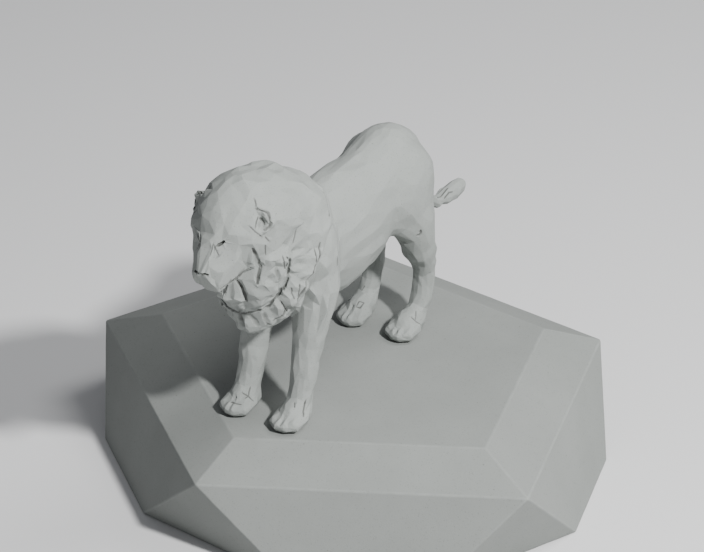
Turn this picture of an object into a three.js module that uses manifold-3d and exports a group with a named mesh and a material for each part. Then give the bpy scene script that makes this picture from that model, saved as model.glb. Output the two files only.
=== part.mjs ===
// A standing lion of cast stone on a many-sided plinth.
// Millimetres, +Z up. The lion faces -Y and its left side is +X.
// The origin is the middle of the plinth's underside.

import * as THREE from "three";
import { ConvexGeometry } from "three/addons/geometries/ConvexGeometry.js";
import { mergeVertices } from "three/addons/utils/BufferGeometryUtils.js";
import Module from "manifold-3d";

const wasm = await Module();
wasm.setup();

// Driving dimensions
const lionHeight = 406; // soles to the crown of the mane
const plinthLong = 846; // across the shoulder ring, along the long axis
const plinthWide = 756; // the same ring, across the long axis
const plinthTurn = -23; // degrees from +X to the long axis
const shoulderHeight = 125; // underside to the shoulder edge
const bevelRise = 32; // shoulder edge to the top face
const bevelShare = 0.236; // part of the ring's radius that the bevel takes
const cornerDrop = 223; // how far below the shoulder the side faces would meet
const pawsFromMiddle = [-9, -67]; // middle of the four paws from the plinth's middle
const seatGap = 0.3; // joint between soles and plinth

// Fineness of the carving
const gridStep = 3; // millimetres between the samples of the lion's skin
const facetCount = 6600; // faces left on the lion

// The lion below is laid out in units of its own, of which it is this many tall
const unitsTall = 94;

const plinthHeight = shoulderHeight + bevelRise;

const minus = (a, b) => a.map((v, n) => v - b[n]);
const dot = (a, b) => a.reduce((sum, v, n) => sum + v * b[n], 0);
const cross = (a, b) => [a[1] * b[2] - a[2] * b[1], a[2] * b[0] - a[0] * b[2], a[0] * b[1] - a[1] * b[0]];
const normalOf = ([a, b, c]) => cross(minus(b, a), minus(c, a));
const cubeCorners = [0, 1, 2, 3, 4, 5, 6, 7].map((c) => [c & 1, (c >> 1) & 1, c >> 2]);

// Plinth: five corners above, ten below

function ringPoint(step, radiusShare, z) {
  const angle = (step * Math.PI) / 5;
  return new THREE.Vector3(
    ((Math.cos(angle) * plinthLong) / 2) * radiusShare,
    ((Math.sin(angle) * plinthWide) / 2) * radiusShare,
    z,
  );
}

function plinthGeometry() {
  const points = [];
  const cutShare = shoulderHeight / cornerDrop;
  for (let corner = 0; corner < 10; corner += 2) {
    const shoulder = ringPoint(corner, 1, shoulderHeight);
    points.push(ringPoint(corner, 1 - bevelShare, plinthHeight), shoulder);
    for (const side of [-1, 1]) {
      const lower = ringPoint(corner + side, 1, shoulderHeight - cornerDrop);
      points.push(shoulder.clone().lerp(lower, cutShare));
    }
  }
  return new ConvexGeometry(points).rotateZ((plinthTurn * Math.PI) / 180);
}

// Shapes of the carving: each gives the distance from a point to its skin, less than nought inside

function ball([x, y, z], [rx, ry, rz]) {
  return (px, py, pz) => {
    const a = (px - x) / rx;
    const b = (py - y) / ry;
    const c = (pz - z) / rz;
    const k = Math.sqrt(a * a + b * b + c * c);
    const g = Math.sqrt((a / rx) ** 2 + (b / ry) ** 2 + (c / rz) ** 2);
    return g > 0 ? (k * (k - 1)) / g : -Math.min(rx, ry, rz);
  };
}

// A bar with round ends that tapers from [x, y, z, radius] to another such station
function bar([ax, ay, az, ra], [bx, by, bz, rb]) {
  const ux = bx - ax;
  const uy = by - ay;
  const uz = bz - az;
  const square = ux * ux + uy * uy + uz * uz;
  return (px, py, pz) => {
    const wx = px - ax;
    const wy = py - ay;
    const wz = pz - az;
    const t = Math.min(1, Math.max(0, (wx * ux + wy * uy + wz * uz) / square));
    const away = Math.sqrt((wx - t * ux) ** 2 + (wy - t * uy) ** 2 + (wz - t * uz) ** 2);
    return away - (ra + t * (rb - ra));
  };
}

function softMin(a, b, reach) {
  const h = Math.max(reach - Math.abs(a - b), 0) / reach;
  return Math.min(a, b) - (h * h * reach) / 4;
}

function blend(reach, shapes) {
  return (x, y, z) => {
    let d = shapes[0](x, y, z);
    for (let i = 1; i < shapes.length; i++) d = softMin(d, shapes[i](x, y, z), reach);
    return d;
  };
}

function carve(reach, solid, cutters) {
  const cut = blend(reach, cutters);
  return (x, y, z) => -softMin(-solid(x, y, z), cut(x, y, z), reach);
}

function limb(reach, stations) {
  return blend(reach, stations.slice(1).map((next, i) => bar(stations[i], next)));
}

// The flat through three points, facing away from the point inside
function flat(inside, three) {
  const normal = normalOf(three);
  const [ax, ay, az] = three[0];
  const size = Math.hypot(...normal) * (dot(normal, minus(inside, three[0])) > 0 ? -1 : 1);
  const [x, y, z] = normal.map((v) => v / size);
  return (px, py, pz) => x * (px - ax) + y * (py - ay) + z * (pz - az);
}

// A block bounded by flats, its edges rounded by the reach
function block(reach, inside, threes) {
  const sides = threes.map((three) => flat(inside, three));
  return (x, y, z) => {
    let d = sides[0](x, y, z);
    for (let i = 1; i < sides.length; i++) d = -softMin(-d, -sides[i](x, y, z), reach);
    return d;
  };
}

// A fixed value between -1 and 1 that looks random, for each point of a cubic lattice
const latticeTurns = [127.1, 311.7, 74.7];
const latticeSpread = 43758.5453;

function chance(point) {
  const s = Math.sin(dot(point, latticeTurns)) * latticeSpread;
  return 2 * (s - Math.floor(s)) - 1;
}

// The same, run smoothly from one lattice point to the next
function waver(x, y, z) {
  const [i, j, k] = [x, y, z].map(Math.floor);
  const [u, v, w] = [x - i, y - j, z - k].map((t) => t * t * (3 - 2 * t));
  let sum = 0;
  for (const [a, b, c] of cubeCorners)
    sum += chance([i + a, j + b, k + c]) * (a ? u : 1 - u) * (b ? v : 1 - v) * (c ? w : 1 - w);
  return sum;
}

// A shape whose skin wavers in and out by the amount, in swells of the given size
const rough = (amount, size, shape) => (x, y, z) => {
  const d = shape(x, y, z);
  const share = 1 - (d / (4 * amount)) ** 2;
  return share <= 0 ? d : d + amount * share * waver(x / size, y / size, z / size);
};

// A shape on the lion's left, and its mirror image on the right
const paired = (shape) => (x, y, z) => shape(Math.abs(x), y, z);

// Lion: x to its left, y towards its tail, z up from the soles

const torso = blend(7, [
  ball([0, -20, 53.5], [13, 18, 20]),
  ball([0, 2, 51.6], [13, 25, 22]),
  ball([0, 19, 52.6], [12, 19, 20]),
  ball([0, 36.5, 59], [12.6, 19, 17.2]),
]);

const foreleg = blend(4, [
  ball([9.4, -20.2, 55.8], [7.4, 10.2, 15.6]),
  limb(1, [
    [9.6, -20.5, 44, 8],
    [10.2, -24.6, 29, 5.5],
    [10.2, -27.2, 18.5, 4.5],
    [10, -30, 9, 4],
    [9.9, -31.5, 4, 4],
  ]),
]);

const hindleg = blend(4, [
  ball([8.4, 38, 54.4], [7.9, 13.8, 16.4]),
  limb(1, [
    [9.4, 40.5, 42, 7.6],
    [9.9, 44.2, 30, 5.7],
    [10.1, 47, 23.5, 4.2],
    [10.2, 47.8, 18, 3.7],
    [10.2, 45.5, 9.5, 3.4],
    [10, 42.5, 4, 3.5],
  ]),
]);

// A paw with its heel at y: a round pad, a row of toes and shallow cuts between them
const toeCount = 4;
const toePitch = 2.3;
const firstToe = 6.5;

function paw(y) {
  const toes = [];
  const cuts = [];
  for (let i = 0; i < toeCount; i++) {
    const x = firstToe + toePitch * i;
    const outer = i === 0 || i === toeCount - 1;
    toes.push(bar([x, y - 6, 3.2, 2.2], [x, y - (outer ? 10.6 : 12.2), 2.4, 2.1]));
    if (i === 0) continue;
    const between = x - toePitch / 2;
    cuts.push(bar([between, y - 8.4, 6.2, 0.25], [between, y - 15, 3, 0.6]));
  }
  return carve(0.5, blend(1.2, [ball([9.9, y - 4.4, 3.4], [4.5, 6.6, 5]), ...toes]), cuts);
}

const tail = blend(3, [
  limb(1, [
    [0, 52, 60, 3.4],
    [0, 60, 53, 2.6],
    [0, 64, 43, 2.2],
    [0, 67, 36, 2],
    [0, 72, 32.5, 2],
    [0, 77, 32.5, 2.2],
  ]),
  ball([0, 83.6, 32.3], [2.8, 7.2, 3.4]),
]);

const collar = blend(5, [
  ball([0, -28.5, 70.4], [17, 20, 15]),
  ball([0, -31, 60], [15.8, 14.5, 18]),
  ball([0, -37.5, 51], [12.3, 12, 15.6]),
]);

const hood = blend(6, [ball([0, -44.5, 78.6], [14.8, 21, 15.6]), ball([0, -34, 77], [14.5, 17, 11.5])]);

const cheeks = ball([0, -46.5, 66], [13, 11.5, 17]);

// Locks of hair side by side, each from an inner edge of the mane to an outer one.
// An edge is [middle in y and z, reach in x and z, how far it leans back towards its foot].
const lockSweep = 1.6; // radians from the cheek round to the middle of the chest
const lockStray = 0.16; // how far a lock strays from its even place, as part of its share

function locks(count, inner, outer, swell, thickness) {
  const list = [];
  for (let i = 0; i < count; i++) {
    const stray = lockStray * Math.sin(5.1 * i + count);
    const turn = ((i + 0.4 + stray) / count) * lockSweep;
    const [root, tip] = [inner, outer].map(([middle, reach, lean], n) => [
      reach[0] * Math.cos(turn),
      middle[0] - lean * Math.sin(turn) + n * 5 * stray,
      middle[1] - reach[1] * Math.sin(turn) + n * 5 * stray,
    ]);
    const half = root.map((v, n) => 0.45 * v + 0.55 * tip[n]);
    half[0] += swell * Math.cos(turn);
    half[1] -= swell * Math.sin(turn) * 0.8;
    half[2] -= swell * Math.sin(turn) * 0.6;
    list.push(
      limb(0.5, [
        [...root, thickness * 0.8],
        [...half, thickness],
        [...tip, thickness * 0.3],
      ]),
    );
  }
  return list;
}

const cheekLocks = locks(6, [[-50, 71], [10.8, 13.5], 4], [[-38.5, 66], [13.4, 19], 9], 1, 3);
const chestLocks = locks(8, [[-37.5, 68], [13, 19.5], 10.5], [[-24.5, 63], [15, 27], 16], 1.4, 3.2);

// Muzzle: a block with a flat bridge, sloping sides, hanging lips and a slanting mouth line
const muzzle = block(0.8, [0, -58, 72], [
  [[0, -71, 70.4], [2, -66.3, 80], [0, -66.3, 80]],
  [[2, -70.7, 70.6], [2.6, -66.3, 80], [5.9, -66.5, 71]],
  [[5.9, -66.5, 71], [8.8, -60, 72.5], [4.9, -65.6, 62.5]],
  [[1.8, -71, 69.6], [4.4, -69, 67.4], [3.4, -69.8, 66]],
  [[0, -71.2, 69.4], [3, -70.4, 68.6], [1, -66.8, 62.4]],
  [[0, -66.2, 62.2], [4, -66.2, 62.2], [8, -58.4, 66.4]],
  [[0, -66.2, 80.4], [6, -66.2, 80.4], [0, -50, 84]],
  [[0, -50, 70], [6, -50, 70], [0, -50, 60]],
]);

// Face: a blunt wedge between the eyes, with brows that lean back and cheeks that fall in
const face = block(1.2, [0, -50, 80], [
  [[0, -66.4, 80], [2.5, -66.2, 80], [0, -69, 74]],
  [[0, -66.4, 80], [2.5, -66.2, 80], [0, -61, 88]],
  [[2.5, -66, 80], [12, -59, 79.4], [3, -62.4, 85.4]],
  [[2.5, -66, 80], [12, -59, 79.4], [8, -60.4, 73]],
  [[12.4, -57.4, 79], [13.4, -50, 80], [11.4, -54, 70]],
  [[9, -58.4, 84.4], [12.2, -53, 83.4], [7.2, -53, 88.6]],
  [[0, -60, 88.4], [6, -58, 88.4], [0, -50, 91]],
  [[0, -64, 73], [6, -61.5, 72], [0, -50, 62]],
  [[0, -48, 80], [6, -48, 80], [0, -48, 70]],
]);

const jaw = block(1, [0, -54, 58], [
  [[0, -59, 61], [3, -58.4, 60.6], [0, -58.4, 54.6]],
  [[2.6, -58.8, 60.6], [6.6, -54, 62], [4, -56.4, 54.6]],
  [[0, -58.6, 54], [4, -56.6, 54.4], [0, -53, 52]],
  [[0, -48, 60], [6, -48, 60], [0, -48, 50]],
  [[0, -60, 64], [4, -60, 64], [0, -52, 66]],
]);

// Narrow cuts on the left side of the face, each from end to end with its half width
const faceNicks = [
  { name: "eye", ends: [[3.2, -65.7, 78.3], [4.7, -64.5, 79.4]], half: 0.8 },
  { name: "nostril", ends: [[1.5, -70.6, 69.9], [2.5, -70.2, 69.7]], half: 0.55 },
];

// An ear is a low curled rim round a hollow that opens forwards
const earRim = limb(0.5, [
  [10.2, -53.6, 87.8, 0.7],
  [12.8, -52.6, 86.2, 1.2],
  [13.9, -51.6, 82.8, 1.1],
  [13.4, -53.8, 80.9, 0.8],
]);

const earHollow = ball([12.8, -55.1, 84], [1.4, 2.1, 2.7]);

// Deep cuts between the locks: down the cheek, beside the chin and under the edge of the ruff
const cheekCut = limb(0.5, [
  [11.8, -59, 77, 0.8],
  [11.4, -54.2, 67.9, 1.3],
  [10.5, -54.3, 61, 0.8],
]);

const chinCut = limb(0.5, [
  [5.6, -57.6, 62, 0.8],
  [6.3, -54, 54, 0.9],
]);

const ruffCut = limb(0.5, [
  [16.2, -44.6, 68.5, 0.6],
  [14.2, -42.4, 60.2, 0.9],
  [11, -45.6, 52.3, 0.9],
  [7.9, -47.2, 47.6, 0.6],
]);

const body = blend(2.5, [
  torso,
  paired(foreleg),
  paired(hindleg),
  paired(paw(-28.6)),
  paired(paw(42.4)),
  tail,
]);

const ruff = blend(1.2, [collar, cheeks, paired(blend(1, [...cheekLocks, ...chestLocks]))]);

const mane = blend(3, [rough(0.8, 4.6, ruff), rough(0.3, 7, hood)]);

const head = carve(
  0.4,
  blend(1, [mane, paired(face), paired(muzzle), paired(jaw)]),
  [paired(earHollow), paired(cheekCut), paired(chinCut), paired(ruffCut)],
);

const lionField = blend(0.4, [rough(0.25, 7, body), head, paired(earRim)]);

// Regions that keep smaller facets than the flanks do: low and high corner and how much finer.
// Both sides are alike, so x is measured outwards from the middle.
const fineRegions = {
  ears: [[10, -60, 78], [21, -47, 98], 8],
  ruff: [[0, -76, 40], [21, -30, 78], 3],
  paws: [[0, -76, -4], [21, 95, 9], 3],
};

function fineness([x, y, z]) {
  const point = [Math.abs(x), y, z];
  const found = Object.values(fineRegions).find(
    ([low, high]) => point.every((v, n) => v > low[n] && v < high[n]));
  return found ? found[2] : 1;
}

const lionBounds = { low: [-21, -76, -4], high: [21, 95, 98] };

// Skin of a field: one point in each grid cell that it crosses, with four-sided faces between them

function skinOf(field, { low, high }, step) {
  const cube = 4; // cells looked at together: far from the skin the middle stands for them all
  const [nx, ny, nz] = minus(high, low).map((v) => Math.ceil(v / step / cube) * cube + 1);
  const at = (i, j, k) => i + nx * (j + ny * k);
  const sample = (i, j, k) => field(low[0] + i * step, low[1] + j * step, low[2] + k * step);
  const values = new Float32Array(nx * ny * nz).fill(1);
  const wide = cube * step * 2;
  for (let k = 0; k < nz; k += cube)
    for (let j = 0; j < ny; j += cube)
      for (let i = 0; i < nx; i += cube) {
        const middle = sample(i + cube / 2, j + cube / 2, k + cube / 2);
        for (let c = k; c < Math.min(nz, k + cube); c++)
          for (let b = j; b < Math.min(ny, j + cube); b++)
            for (let a = i; a < Math.min(nx, i + cube); a++)
              values[at(a, b, c)] = Math.abs(middle) > wide ? middle : sample(a, b, c);
      }

  // Cells that touch only across a corner are filled, so that the skin never meets itself
  const strides = [1, nx, nx * ny];
  const justInside = -1e-3;
  const passes = 3;
  for (let pass = 0; pass < passes; pass++)
    for (let here = 0; here < values.length - strides[2] - strides[1]; here++)
      for (let n = 0; n < 3; n++) {
        const u = strides[n];
        const w = strides[(n + 1) % 3];
        const signs = [here, here + u, here + w, here + u + w].map((v) => values[v] < 0);
        if (signs[0] !== signs[3] || signs[1] !== signs[2] || signs[0] === signs[1]) continue;
        values[signs[0] ? here + u : here] = justInside;
      }

  const pointOf = new Int32Array(values.length).fill(-1);
  const points = [];
  const offsets = cubeCorners.map(([a, b, c]) => at(a, b, c));
  const edges = [];
  for (let a = 0; a < 8; a++) for (const bit of [1, 2, 4]) if (!(a & bit)) edges.push([a, a | bit]);
  for (let k = 0; k < nz - 1; k++)
    for (let j = 0; j < ny - 1; j++)
      for (let i = 0; i < nx - 1; i++) {
        const base = at(i, j, k);
        const sum = [0, 0, 0];
        let crossed = 0;
        for (const [a, b] of edges) {
          const from = values[base + offsets[a]];
          const to = values[base + offsets[b]];
          if (from < 0 === to < 0) continue;
          const t = from / (from - to);
          cubeCorners[a].forEach((v, n) => (sum[n] += v + t * (cubeCorners[b][n] - v)));
          crossed++;
        }
        if (!crossed) continue;
        pointOf[base] = points.length;
        points.push([i, j, k].map((g, n) => low[n] + (g + sum[n] / crossed) * step));
      }

  const faces = [];
  for (let k = 1; k < nz - 1; k++)
    for (let j = 1; j < ny - 1; j++)
      for (let i = 1; i < nx - 1; i++)
        for (let n = 0; n < 3; n++) {
          const here = at(i, j, k);
          const inside = values[here] < 0;
          if (inside === values[here + strides[n]] < 0) continue;
          const u = strides[(n + 1) % 3];
          const w = strides[(n + 2) % 3];
          const quad = [here, here - u, here - u - w, here - w].map((cell) => pointOf[cell]);
          if (!inside) quad.reverse();
          faces.push([quad[0], quad[1], quad[2]], [quad[0], quad[2], quad[3]]);
        }
  return { points, faces };
}

// Facets: the skin's shortest, flattest edges are closed up until the wanted number of faces is left

const shortEdgeCost = 1e-4; // small cost of an edge's own length, so that flat places even out
const leastAgreement = 0.25; // a face may turn until the cosine between old and new falls to this
const flatEnough = 1e-7; // below it the planes round an edge don't fix one best point
const furthestShift = 1.5; // how far the best point may lie from the edge's middle, in edge lengths

function planeSum(target, three, weight) {
  const normal = normalOf(three);
  const size = Math.hypot(...normal) || 1;
  const [x, y, z] = normal.map((v) => v / size);
  const d = -dot([x, y, z], three[0]);
  const terms = [x * x, x * y, x * z, x * d, y * y, y * z, y * d, z * z, z * d, d * d];
  terms.forEach((v, n) => (target[n] += v * size * weight));
}

function planeError(q, [x, y, z]) {
  return (
    q[0] * x * x + 2 * q[1] * x * y + 2 * q[2] * x * z + 2 * q[3] * x + q[4] * y * y +
    2 * q[5] * y * z + 2 * q[6] * y + q[7] * z * z + 2 * q[8] * z + q[9]
  );
}

function bestPoint(q, a, b) {
  const [xx, xy, xz, xd, yy, yz, yd, zz, zd] = q;
  const c0 = yy * zz - yz * yz;
  const c1 = xz * yz - xy * zz;
  const c2 = xy * yz - xz * yy;
  const whole = xx * c0 + xy * c1 + xz * c2;
  const middle = a.map((v, n) => (v + b[n]) / 2);
  if (Math.abs(whole) < flatEnough * (xx + yy + zz) ** 3) return middle;
  const point = [
    -(c0 * xd + c1 * yd + c2 * zd) / whole,
    -(c1 * xd + (xx * zz - xz * xz) * yd + (xy * xz - xx * yz) * zd) / whole,
    -(c2 * xd + (xy * xz - xx * yz) * yd + (xx * yy - xy * xy) * zd) / whole,
  ];
  const far = Math.hypot(...minus(a, b)) * furthestShift;
  return Math.hypot(...minus(point, middle)) < far ? point : middle;
}

// A list that always gives its cheapest item first
class Heap {
  items = [];
  push(item) {
    const items = this.items;
    let i = items.push(item) - 1;
    while (i > 0) {
      const parent = (i - 1) >> 1;
      if (items[parent].cost <= item.cost) break;
      items[i] = items[parent];
      i = parent;
    }
    items[i] = item;
  }
  pop() {
    const items = this.items;
    const top = items[0];
    const last = items.pop();
    if (!items.length) return top;
    let i = 0;
    for (;;) {
      let child = 2 * i + 1;
      if (child >= items.length) break;
      if (child + 1 < items.length && items[child + 1].cost < items[child].cost) child++;
      if (items[child].cost >= last.cost) break;
      items[i] = items[child];
      i = child;
    }
    items[i] = last;
    return top;
  }
}

function facet({ points, faces }, wanted, weightOf) {
  const around = points.map(() => new Set());
  const planes = points.map(() => new Float64Array(10));
  const age = new Int32Array(points.length);
  faces.forEach((face, f) => {
    for (const v of face) {
      around[v].add(f);
      planeSum(planes[v], face.map((p) => points[p]), weightOf(points[v]));
    }
  });
  const beside = (v) => {
    const found = new Set();
    for (const f of around[v]) for (const p of faces[f]) if (p !== v) found.add(p);
    return found;
  };
  const heap = new Heap();
  const offer = (a, b) => {
    const sum = planes[a].map((v, n) => v + planes[b][n]);
    const point = bestPoint(sum, points[a], points[b]);
    const edge = minus(points[a], points[b]);
    const cost = planeError(sum, point) + shortEdgeCost * dot(edge, edge);
    heap.push({ a, b, point, cost, ages: age[a] + age[b] });
  };
  const turnsOver = (v, gone, point) => {
    for (const f of around[v]) {
      if (faces[f].includes(gone)) continue;
      const before = normalOf(faces[f].map((p) => points[p]));
      const after = normalOf(faces[f].map((p) => (p === v ? point : points[p])));
      const least = leastAgreement * Math.hypot(...before) * Math.hypot(...after);
      if (dot(before, after) <= least) return true;
    }
    return false;
  };
  points.forEach((_, v) => {
    for (const p of beside(v)) if (p > v) offer(v, p);
  });
  let left = faces.length;
  while (left > wanted && heap.items.length) {
    const { a, b, point, ages } = heap.pop();
    if (!around[a].size || !around[b].size || ages !== age[a] + age[b]) continue;
    const shared = [...beside(a)].filter((p) => beside(b).has(p));
    if (shared.length !== 2) continue;
    if (turnsOver(a, b, point) || turnsOver(b, a, point)) continue;
    points[a] = point;
    planes[b].forEach((v, n) => (planes[a][n] += v));
    for (const f of [...around[b]]) {
      if (faces[f].includes(a)) {
        for (const p of faces[f]) around[p].delete(f);
        faces[f] = null;
        left--;
      } else {
        faces[f] = faces[f].map((p) => (p === b ? a : p));
        around[a].add(f);
      }
    }
    around[b].clear();
    age[a]++;
    for (const p of beside(a)) offer(a, p);
  }
  return { points, faces: faces.filter(Boolean) };
}

function solidOf({ points, faces }, scale) {
  const used = new Map();
  const kept = [];
  const triVerts = faces.flat().map((v) => {
    if (!used.has(v)) {
      used.set(v, used.size);
      kept.push(...points[v].map((w) => w * scale));
    }
    return used.get(v);
  });
  return new wasm.Manifold(
    new wasm.Mesh({
      numProp: 3,
      vertProperties: new Float32Array(kept),
      triVerts: new Uint32Array(triVerts),
    }),
  );
}

// The solid of a nick: pointed at both ends and on both sides
function nickSolid(ends, half, scale) {
  const points = [];
  for (const end of ends)
    for (const n of [0, 1, 2])
      for (const shift of [-half, half]) {
        const point = [...end];
        point[n] += shift;
        points.push(new THREE.Vector3(...point).multiplyScalar(scale));
      }
  const hull = mergeVertices(new ConvexGeometry(points).deleteAttribute("normal"));
  return new wasm.Manifold(
    new wasm.Mesh({
      numProp: 3,
      vertProperties: hull.attributes.position.array,
      triVerts: new Uint32Array(hull.index.array),
    }),
  );
}

function geometryOf(solid) {
  const mesh = solid.getMesh();
  const geometry = new THREE.BufferGeometry();
  geometry.setAttribute("position", new THREE.BufferAttribute(mesh.vertProperties, 3));
  geometry.setIndex(new THREE.BufferAttribute(mesh.triVerts, 1));
  return geometry;
}

function lionGeometry() {
  const unit = lionHeight / unitsTall;
  const skin = skinOf(lionField, lionBounds, gridStep / unit);
  let solid = solidOf(facet(skin, facetCount, fineness), unit).trimByPlane([0, 0, 1], 0);
  for (const { ends, half } of faceNicks)
    for (const side of [-1, 1]) {
      const placed = ends.map(([x, y, z]) => [side * x, y, z]);
      solid = solid.subtract(nickSolid(placed, half, unit));
    }
  return geometryOf(solid);
}

const plinthStone = new THREE.MeshStandardMaterial({ color: 0xa6aaa6, roughness: 0.9, metalness: 0 });
const lionStone = new THREE.MeshStandardMaterial({ color: 0xb8bcb8, roughness: 0.85, metalness: 0 });

const plinth = new THREE.Mesh(plinthGeometry(), plinthStone);
plinth.name = "plinth";

const lion = new THREE.Mesh(lionGeometry(), lionStone);
lion.name = "lion";
lion.position.set(pawsFromMiddle[0], pawsFromMiddle[1], plinthHeight + seatGap);

const statue = new THREE.Group();
statue.name = "lion statue";
statue.add(plinth, lion);
export default statue;
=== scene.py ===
import math
import random

import bmesh
import bpy
import numpy as np
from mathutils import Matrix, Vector, kdtree, noise
from mathutils.bvhtree import BVHTree


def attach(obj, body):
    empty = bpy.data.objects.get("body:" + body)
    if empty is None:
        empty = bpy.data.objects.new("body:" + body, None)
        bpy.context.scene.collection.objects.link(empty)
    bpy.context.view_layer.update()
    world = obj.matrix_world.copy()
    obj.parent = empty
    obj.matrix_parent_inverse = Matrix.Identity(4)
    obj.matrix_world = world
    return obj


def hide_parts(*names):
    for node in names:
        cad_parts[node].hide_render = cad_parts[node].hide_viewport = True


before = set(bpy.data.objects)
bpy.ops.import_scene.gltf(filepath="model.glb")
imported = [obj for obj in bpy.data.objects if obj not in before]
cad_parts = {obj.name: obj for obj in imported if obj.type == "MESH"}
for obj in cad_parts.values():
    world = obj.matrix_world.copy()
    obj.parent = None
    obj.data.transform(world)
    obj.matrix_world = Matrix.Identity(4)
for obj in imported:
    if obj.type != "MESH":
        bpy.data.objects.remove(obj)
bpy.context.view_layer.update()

# Camera
# It looks down on the statue from in front of the lion's left shoulder, with a long lens,
# so that the plinth's near corner runs out of the bottom of the picture.

eye = Vector((2.228, -3.517, 2.555))
looks_at = Vector((-0.161, 0.2475, 0.125))
lens = bpy.data.cameras.new("camera")
lens.lens = 167.1
lens.sensor_width = 36.0
camera = bpy.data.objects.new("camera", lens)
camera.location = eye
camera_turn = (looks_at - eye).to_track_quat("-Z", "Y")
camera.rotation_euler = camera_turn.to_euler()
bpy.context.scene.collection.objects.link(camera)
bpy.context.scene.camera = camera

# Studio
# A pale floor, one lamp high on the right of the camera as the main light, a wide soft one
# above and behind on the same side, and an even pale sky that opens the shade.


def lamp(name, turn, rise, distance, size, power):
    light = bpy.data.lights.new(name, "AREA")
    light.shape = "DISK"
    light.size = size
    light.energy = power
    holder = bpy.data.objects.new(name, light)
    aim = Vector((0.0, 0.0, 0.25))
    flat = math.cos(math.radians(rise)) * distance
    holder.location = aim + Vector((
        flat * math.cos(math.radians(turn)),
        flat * math.sin(math.radians(turn)),
        math.sin(math.radians(rise)) * distance,
    ))
    holder.rotation_euler = (aim - holder.location).to_track_quat("-Z", "Y").to_euler()
    bpy.context.scene.collection.objects.link(holder)


lamp("main lamp", turn=-20, rise=43, distance=4.0, size=0.3, power=285)
lamp("back lamp", turn=45, rise=60, distance=4.0, size=2.0, power=85)

sky = bpy.data.worlds.new("sky")
sky.use_nodes = True
sky.node_tree.nodes["Background"].inputs["Color"].default_value = (0.93, 0.95, 1.0, 1.0)
sky.node_tree.nodes["Background"].inputs["Strength"].default_value = 0.3
bpy.context.scene.world = sky

floor_mesh = bpy.data.meshes.new("floor")
reach = 30.0
floor_mesh.from_pydata(
    [(-reach, -reach, 0), (reach, -reach, 0), (reach, reach, 0), (-reach, reach, 0)], [], [(0, 1, 2, 3)])
floor = bpy.data.objects.new("floor", floor_mesh)
bpy.context.scene.collection.objects.link(floor)
floor_paint = bpy.data.materials.new("floor paint")
floor_paint.use_nodes = True
floor_paint.node_tree.nodes["Principled BSDF"].inputs["Base Color"].default_value = (0.62, 0.62, 0.62, 1.0)
floor_paint.node_tree.nodes["Principled BSDF"].inputs["Roughness"].default_value = 0.9
floor_mesh.materials.append(floor_paint)

# Plinth
# One block of cast stone with five corners, a bevelled shoulder and a flat top, cast in a smooth
# mould. Its arrises are rubbed round by a millimetre or two, a little more in some places.


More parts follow.
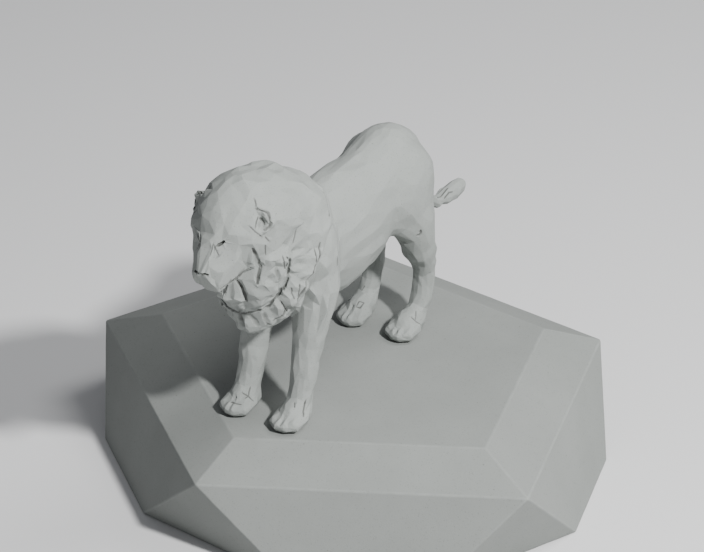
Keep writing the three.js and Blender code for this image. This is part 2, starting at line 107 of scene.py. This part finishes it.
def stone(name, pale, deep, shade_colour):
    """Cast stone: cloudy cement paste with fine sand and scattered pinholes, with painted shade in the
    pinholes and hollows.
    """
    material = bpy.data.materials.new(name)
    material.use_nodes = True
    tree = material.node_tree
    shader = tree.nodes["Principled BSDF"]

    def add(kind, **settings):
        made = tree.nodes.new("ShaderNode" + kind)
        for key, value in settings.items():
            setattr(made, key, value)
        return made

    def plug(value, socket):
        if isinstance(value, (int, float, tuple)):
            socket.default_value = value
        else:
            tree.links.new(value, socket)

    def sums(operation, first, second=0.0):
        made = add("Math", operation=operation)
        plug(first, made.inputs[0])
        plug(second, made.inputs[1])
        return made.outputs[0]

    def stretch(value, low, high, to_low, to_high):
        made = add("MapRange")
        for number, entry in enumerate((value, low, high, to_low, to_high)):
            plug(entry, made.inputs[number])
        return made.outputs[0]

    def cloud(scale, detail):
        made = add("TexNoise")
        plug(place, made.inputs["Vector"])
        made.inputs["Scale"].default_value = scale
        made.inputs["Detail"].default_value = detail
        made.inputs["Roughness"].default_value = 0.6
        return made.outputs["Fac"]

    def cells(scale):
        made = add("TexVoronoi")
        plug(place, made.inputs["Vector"])
        made.inputs["Scale"].default_value = scale
        lot = add("SeparateColor")
        plug(made.outputs["Color"], lot.inputs[0])
        return made.outputs["Distance"], lot.outputs

    def blend(part, first, second):
        made = add("Mix", data_type="RGBA")
        plug(part, made.inputs[0])
        plug(first, made.inputs[6])
        plug(second, made.inputs[7])
        return made.outputs[2]

    def times(colour, factor):
        return tuple(value * factor for value in colour[:3]) + (1.0,)

    place = add("TexCoord").outputs["Object"]
    drift = cloud(7.0, 3.0)
    mottle = cloud(48.0, 5.0)
    sand = cloud(620.0, 3.0)
    grain_place, grain_lot = cells(430.0)
    hole_place, hole_lot = cells(120.0)
    grain = sums(
        "MULTIPLY",
        stretch(grain_place, 0.2, 0.5, 1.0, 0.0),
        stretch(grain_lot[0], 0.84, 0.9, 0.0, 1.0),
    )
    hole_reach = stretch(hole_lot[1], 0.0, 1.0, 0.05, 0.13)
    hole = sums(
        "MULTIPLY",
        sums("LESS_THAN", hole_place, hole_reach),
        sums("GREATER_THAN", hole_lot[0], 0.9),
    )

    hollow = add("Attribute", attribute_name="hollow").outputs["Fac"]
    arris = add("Attribute", attribute_name="arris").outputs["Fac"]

    tint = blend(stretch(drift, 0.35, 0.65, 0.0, 1.0), deep, pale)
    tint = blend(stretch(mottle, 0.3, 0.7, 0.0, 0.3), tint, deep)
    tint = blend(sums("MULTIPLY", stretch(sand, 0.35, 0.7, 0.0, 1.0), 0.2), tint, times(pale, 1.3))
    tint = blend(sums("MULTIPLY", grain, 0.35), tint, times(deep, 0.55))
    # Painted shade in the pinholes: they are darkened towards the same dark colour
    tint = blend(sums("MULTIPLY", hole, 0.45), tint, shade_colour)
    rubbed = sums("MULTIPLY", arris, stretch(mottle, 0.35, 0.65, 0.1, 0.5))
    tint = blend(rubbed, tint, times(pale, 1.22))
    # Painted shade: the hollows are darkened towards a dark colour
    shade_in_hollows = sums("MULTIPLY", hollow, stretch(mottle, 0.3, 0.6, 0.95, 0.7))
    tint = blend(shade_in_hollows, tint, shade_colour)
    plug(tint, shader.inputs["Base Color"])

    plug(stretch(sand, 0.3, 0.7, 0.8, 0.93), shader.inputs["Roughness"])
    shader.inputs["Specular IOR Level"].default_value = 0.3

    height = sums("ADD", sums("MULTIPLY", sand, 0.35), sums("MULTIPLY", mottle, 0.9))
    height = sums("SUBTRACT", height, sums("MULTIPLY", hole, 0.8))
    bump = add("Bump")
    bump.inputs["Strength"].default_value = 0.4
    bump.inputs["Distance"].default_value = 0.001
    plug(height, bump.inputs["Height"])
    plug(bump.outputs["Normal"], shader.inputs["Normal"])
    return material


def merged_shape(node):
    """A node's mesh with its loose triangles joined up, as an editable shape."""
    shape = bmesh.new()
    shape.from_mesh(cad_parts[node].data)
    bmesh.ops.remove_doubles(shape, verts=shape.verts, dist=1e-6)
    return shape


def finished_piece(shape, name, node, material):
    """The shape as a piece of stone that stands for the node."""
    mesh = bpy.data.meshes.new(name)
    shape.to_mesh(mesh)
    shape.free()
    mesh.materials.append(material)
    piece = bpy.data.objects.new(name, mesh)
    bpy.context.scene.collection.objects.link(piece)
    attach(piece, "root")
    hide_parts(node)
    return piece


cut_length = 0.009  # the arrises are cut up into lengths of this, so that they can wear unevenly
arris_round = 0.0016
arris_wear = 0.00025
flat_margin = 0.0012  # a narrow band beside each arris shares its paler colour
least_flat = 2e-3  # square metres; every face that is larger is one of the block's flats

shape = merged_shape("plinth")
bmesh.ops.dissolve_limit(shape, angle_limit=math.radians(1), verts=shape.verts, edges=shape.edges)
for edge in list(shape.edges):
    cuts = int(edge.calc_length() / cut_length)
    bmesh.ops.subdivide_edges(shape, edges=[edge], cuts=cuts)
sharp = [edge for edge in shape.edges if edge.calc_face_angle(0) > math.radians(5)]
bmesh.ops.bevel(
    shape, geom=sharp, offset=arris_round, offset_type="OFFSET", segments=3, profile=0.5, affect="EDGES")
flats = [face for face in shape.faces if face.calc_area() > least_flat]
worn = shape.verts.layers.float.new("arris")
shape.normal_update()
for vert in {vert for face in shape.faces if face.calc_area() <= least_flat for vert in face.verts}:
    vert.co -= vert.normal * arris_wear * (1 + noise.noise(vert.co * 38.0))
    vert[worn] = 1.0
bmesh.ops.inset_individual(shape, faces=flats, thickness=flat_margin, use_even_offset=True)
for face in flats:
    for vert in face.verts:
        vert[worn] = 0.0
for face in shape.faces:
    face.smooth = face.calc_area() <= least_flat
# The dark colour of the painted shade in hollows, grooves and pinholes
shade_colour = (0.06, 0.061, 0.056, 1.0)
plinth_stone = stone("plinth stone", (0.219, 0.231, 0.219, 1.0), (0.198, 0.209, 0.198, 1.0), shade_colour)
finished_piece(shape, "plinth_body", "plinth", plinth_stone)

# Lion
# One casting in the same stone, a shade lighter. It is cut in low facets whose arrises are softly
# rubbed, with narrow grooves for the folds of the mane, the ears, the toes and the tuft of the tail.

soles = Vector((-0.009, -0.067, 0.1573))
unit = 0.406 / 94  # places on the lion are in 94ths of its height, from the middle of its soles
millimetre = 0.001

shape = merged_shape("lion")
shape.normal_update()

# Each corner of the facets stands a little in or out, more so on the head and the mane
chance = random.Random(5)
for vert in shape.verts:
    place = (vert.co - soles) / unit
    if place.z < 1.5:
        continue
    if place.z < 40:
        swing = 0.09
    elif place.y > -24:
        swing = 0.06
    elif place.z > 78:
        swing = 0.15
    else:
        swing = 0.2 if place.z > 58 else 0.3
    pitch = sum(edge.calc_length() for edge in vert.link_edges) / len(vert.link_edges)
    vert.co += vert.normal * pitch * swing * chance.uniform(-1, 1)
skin = BVHTree.FromBMesh(shape)

# Strokes of the chisel: half width and depth in millimetres, then the places in the picture that
# each runs through, in its pixels. On the head they were read from a piece of it that was enlarged.
picture_width = 704
picture_height = 552
head_corner = (180, 150)
head_enlarged = 4.043
face_enlarged = 5.5

head_strokes = {
    "top of the ear": (1.2, 1.0, [(303, 200), (313, 235)]),
    "front of the ear": (1.0, 0.7, [(280, 308), (305, 332), (332, 352)]),
    "below the ear": (1.2, 1.0, [(345, 352), (362, 370)]),
    "far side of the nose": (0.9, 0.7, [(133, 380), (128, 405), (120, 430)]),
    "near side of the nose": (0.9, 0.7, [(134, 380), (146, 405), (158, 430)]),
    "eye": (3.0, 2.4, [(150, 385), (162, 378), (175, 371)]),
    "nostril": (1.7, 1.8, [(85, 502), (100, 500), (114, 505)]),
    "cheek": (2.2, 2.2, [(295, 400), (312, 435), (325, 470), (318, 505), (313, 540)]),
    "behind the cheek": (1.1, 0.9, [(345, 385), (347, 425)]),
    "first lock": (1.1, 1.1, [(415, 430), (421, 455), (424, 478)]),
    "second lock": (1.1, 1.0, [(432, 432), (430, 470)]),
    "third lock": (1.9, 2.2, [(444, 442), (441, 470), (436, 500)]),
    "rim of the beard": (2.0, 2.2, [
        (436, 520), (425, 548), (402, 580), (378, 602), (358, 632), (330, 648), (295, 655), (245, 660)]),
    "upper mane": (1.0, 0.9, [(471, 320), (465, 345), (457, 376)]),
    "edge of the mane": (1.1, 1.1, [(543, 398), (550, 425), (552, 455)]),
    "first lower lock": (1.1, 1.1, [(484, 543), (482, 570), (478, 592)]),
    "second lower lock": (1.1, 1.1, [(450, 558), (455, 585), (462, 602)]),
    "third lower lock": (1.2, 1.1, [(408, 612), (420, 632), (434, 652)]),
    "chin": (1.8, 1.8, [(232, 530), (255, 560), (270, 612)]),
}
face_strokes = {
    "rim of the ear": (2.8, 2.4, [
        (425, 325), (448, 328), (470, 335), (487, 352), (496, 372), (502, 400), (490, 428), (465, 438)]),
    "hollow of the ear": (1.7, 1.4, [(440, 375), (452, 385), (463, 408)]),
    "fore edge of the ear": (1.0, 0.9, [(430, 368), (420, 395), (415, 430)]),
    "lip": (1.8, 1.4, [(223, 765), (258, 741), (298, 713), (338, 686), (371, 659), (393, 647)]),
    "mouth": (2.6, 2.8, [(225, 780), (260, 750), (297, 718), (335, 692), (371, 660), (390, 649)]),
    "rim of the mane": (2.0, 2.0, [
        (770, 514), (772, 560), (769, 598), (744, 658), (675, 780), (637, 848), (572, 902), (518, 938)]),
    "shoulder": (1.4, 1.2, [(867, 503), (870, 553), (868, 597), (866, 634)]),
    "fold beside the chin": (3.4, 1.7, [(462, 902), (470, 932), (494, 961)]),
    "fold under the chin": (3.4, 1.5, [(372, 897), (407, 932), (425, 962)]),
    "fold behind the cheek": (3.2, 1.4, [(528, 655), (545, 705), (548, 722)]),
}
body_strokes = {
    "upper tuft": (1.4, 1.3, [(444.5, 198.5), (449, 192.7), (452.5, 192)]),
    "lower tuft": (1.4, 1.3, [(437.5, 197.5), (441, 196), (447.5, 188)]),
    "outer side of the forepaw": (1.3, 1.2, [(305.5, 401), (304.3, 407), (303.5, 416.5)]),
    "ankle of the hind paw": (1.0, 0.8, [(411, 317), (416, 321.5), (421, 325.5)]),
}
middle_strokes = {
    "fold in the middle": (3.4, 1.7, [(330, 885), (338, 930), (360, 972)]),
}
single_strokes = {
    "shin of the far forepaw": (1.0, 0.8, [(250.5, 387), (249, 392), (248.5, 396), (245, 398.5)]),
    "toes of the far forepaw": (1.0, 0.8, [(242, 392.5), (245, 394.5), (248, 396), (253.5, 401)]),
    "outer toe of the far forepaw": (1.0, 0.9, [(231, 402), (236, 403.5), (241, 404.5)]),
    "near forepaw": (1.0, 0.8, [(294.5, 403), (294.5, 407.5)]),
    "back of the far hind paw": (1.0, 0.8, [(356, 307), (359, 301.3), (364, 303), (360, 308), (356, 307)]),
    "far hind shin": (1.0, 0.8, [(364.5, 286), (361, 291)]),
    "near hind shin": (1.0, 0.8, [(416, 311), (415.5, 320)]),
    "nick in the thigh": (1.8, 1.8, [(420.5, 230.5), (421, 233), (419.5, 235), (417, 235.5)]),
}


def seen_at(place, enlarged):
    """The place on the lion's skin that shows at a place in the picture, or in an enlarged piece of it."""
    x, y = place
    if enlarged > 1:
        x = head_corner[0] + x / enlarged
        y = head_corner[1] + y / enlarged
    picture_distance = picture_width * lens.lens / lens.sensor_width
    sight = Vector((x - picture_width / 2, picture_height / 2 - y, -picture_distance))
    sight.rotate(camera_turn)
    return skin.ray_cast(eye, sight.normalized())[0]


def on_other_side(spot):
    """The same place on the other side of the lion."""
    return Vector((2 * soles.x - spot.x, spot.y, spot.z))


grooves = []
for strokes, enlarged, both_sides in (
    (head_strokes, head_enlarged, True),
    (face_strokes, face_enlarged, True),
    (body_strokes, 1, True),
    (middle_strokes, face_enlarged, False),
    (single_strokes, 1, False),
):
    for half_width, depth, route in strokes.values():
        line = [seen_at(place, enlarged) for place in route]
        grooves.append((half_width, depth, line))
        if both_sides:
            grooves.append((half_width, depth, [on_other_side(spot) for spot in line]))

# The mane ends on the neck in an arc, which doesn't show in the picture
nape_radius = 15.7
nape_middle = 66.5
nape = []
for turn in range(2, 71, 17):
    across = nape_radius * math.sin(math.radians(turn))
    up = nape_middle + nape_radius * math.cos(math.radians(turn))
    back = -13.8 - 0.2 * across - 0.015 * across ** 2
    nape.append(soles + unit * Vector((across, back, up)))
grooves.append((2.0, 2.0, nape))
grooves.append((2.0, 2.0, [on_other_side(spot) for spot in nape]))

# Closely spaced points on the skin along each groove, with its half width and its depth there
trace_step = 0.0005
trace = []
for half_width, depth, line in grooves:
    lengths = [(b - a).length for a, b in zip(line, line[1:])]
    whole = sum(lengths)
    done = 0.0
    for a, b, length in zip(line, line[1:], lengths):
        steps = max(1, round(length / trace_step))
        for step in range(steps + 1):
            t = (done + length * step / steps) / whole
            taper = min(1.0, 3.2 * math.sin(math.pi * min(max(t, 0.04), 0.96))) ** 0.5
            spot = skin.find_nearest(a.lerp(b, step / steps))[0]
            trace.append((spot, half_width * millimetre * (0.6 + 0.4 * taper), depth * millimetre * taper))
        done += length
finder = kdtree.KDTree(len(trace))
for number, (spot, _, _) in enumerate(trace):
    finder.insert(spot, number)
finder.balance()

# Every facet is cut up finely, and more finely still beside the grooves, which are cut a little
# wider than their nominal width
side_slope = 1.3
bmesh.ops.subdivide_edges(shape, edges=shape.edges, cuts=3, use_grid_fill=True)
bmesh.ops.triangulate(shape, faces=shape.faces)
for reach, longest in ((0.005, 0.0022), (0.004, 0.0015), (0.003, 0.001)):
    near = []
    for edge in shape.edges:
        if edge.calc_length() > longest:
            spot, found, away = finder.find((edge.verts[0].co + edge.verts[1].co) / 2)
            if away < min(reach, trace[found][1] * side_slope + 0.0007):
                near.append(edge)
    bmesh.ops.subdivide_edges(shape, edges=near, cuts=1)
    bmesh.ops.triangulate(shape, faces=[face for face in shape.faces if len(face.verts) > 3])

shape.verts.index_update()
shape.verts.ensure_lookup_table()
places = np.array([vert.co for vert in shape.verts])
pairs = np.array([[vert.index for vert in edge.verts] for edge in shape.edges])
count = np.bincount(pairs.ravel(), minlength=len(places))


def around(values):
    """The mean of each vertex's neighbours."""
    total = np.zeros_like(values)
    np.add.at(total, pairs[:, 0], values[pairs[:, 1]])
    np.add.at(total, pairs[:, 1], values[pairs[:, 0]])
    return total / (count[:, None] if values.ndim > 1 else count)


# The arrises are rubbed: each point moves towards the middle of its neighbours
rubbing = 0.3
places += rubbing * (around(places) - places)
for vert, place in zip(shape.verts, places):
    vert.co = place
shape.normal_update()

# The grooves are pressed in and carry painted shade, the deep narrow ones most of all. A very low waver is
# laid over the whole skin.
waver = 0.00012
shade_in_hollows = np.zeros(len(places))
for number, vert in enumerate(shape.verts):
    spot, found, away = finder.find(vert.co)
    _, half_width, depth = trace[found]
    half_width_there = half_width * side_slope
    if away < half_width_there:
        pressed = (1 - (away / half_width_there) ** 2) ** 1.2
        shade_in_hollows[number] = 0.95 * pressed * min(1.0, 1.3 * depth / half_width)
        vert.co -= vert.normal * depth * pressed
    vert.co += vert.normal * waver * noise.noise(vert.co * 160.0)
shape.normal_update()

# Hollows, which carry painted shade, and arrises, from how far the neighbours stand above or below each
# point
places = np.array([vert.co for vert in shape.verts])
normals = np.array([vert.normal for vert in shape.verts])
apart = places[pairs[:, 1]] - places[pairs[:, 0]]
apart /= np.linalg.norm(apart, axis=1)[:, None]
rise = np.zeros(len(places))
np.add.at(rise, pairs[:, 0], np.einsum("ij,ij->i", normals[pairs[:, 0]], apart))
np.add.at(rise, pairs[:, 1], -np.einsum("ij,ij->i", normals[pairs[:, 1]], apart))
rise /= count
for spread in range(3):
    rise = 0.4 * rise + 0.6 * around(rise)
hollow_layer = shape.verts.layers.float.new("hollow")
arris_layer = shape.verts.layers.float.new("arris")
for vert, height, groove in zip(shape.verts, rise, shade_in_hollows):
    # The hollow attribute says where painted shade goes: concave places and the grooves
    vert[hollow_layer] = min(1.0, max(0.0, (height - 0.05) * 4.0) + groove)
    vert[arris_layer] = min(1.0, max(0.0, (-height - 0.05) * 4.0))

lion_stone = stone("lion stone", (0.262, 0.277, 0.263, 1.0), (0.238, 0.253, 0.24, 1.0), shade_colour)
finished_piece(shape, "lion_body", "lion", lion_stone)
